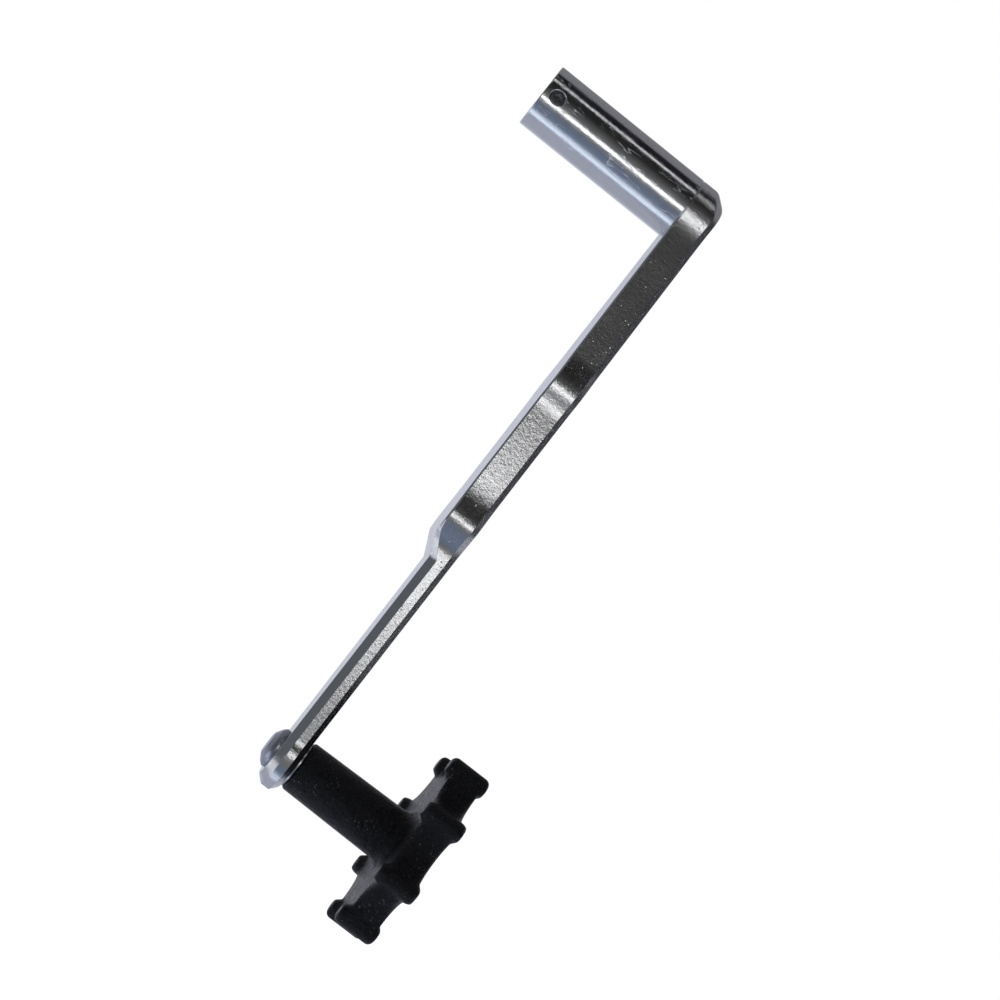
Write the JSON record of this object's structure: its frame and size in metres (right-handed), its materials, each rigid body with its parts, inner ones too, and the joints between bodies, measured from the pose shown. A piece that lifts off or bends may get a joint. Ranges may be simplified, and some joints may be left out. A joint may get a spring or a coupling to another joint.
{
  "type": "window operator crank handle",
  "caption": "Z-shaped crank handle for a window operator: socketed drive shank with set screw, waved flat arm, and a star knob that spins on a riveted pivot.",
  "frame": {"origin": "centre of the drive socket's mouth", "axes": "+X along the drive axis from the socket's mouth towards the arm and the knob; the arm hangs down along -Z; the set screw is on the -Y side"},
  "size_m": [0.1025, 0.055, 0.2198],
  "materials": {
    "arm_metal": "polished cast metal, milled edge",
    "shank_metal": "turned, bright",
    "rivet_steel": "zinc plated",
    "pin_steel": "ground",
    "blued_steel": "black oxide",
    "bush_bronze": "sintered, oiled",
    "black_plastic": "moulded, fine grained"
  },
  "bodies": {
    "crank": {"arm": "arm_metal", "drive_shank": "shank_metal", "shank_screw": "blued_steel", "shank_dowels": "pin_steel", "pivot_rivet": "rivet_steel", "spindle_sleeve": "pin_steel", "rear_thrust_washer": "pin_steel", "front_thrust_washer": "pin_steel"},
    "knob": {"knob_body": "black_plastic", "rear_bush": "bush_bronze", "front_bush": "bush_bronze", "knob_cap": "black_plastic"},
    "clamp_screw": {"set_screw": "blued_steel"}
  },
  "joints": [
    {"name": "knob_spin", "type": "hinge", "parent": "crank", "child": "knob", "pos_m": [0.05872, 0, -0.1828], "axis": [1, 0, 0], "continuous": true},
    {"name": "set_screw_travel", "type": "slide", "parent": "crank", "child": "clamp_screw", "axis": [0, -1, 0], "range_m": [-0.0012, 0.002]}
  ]
}
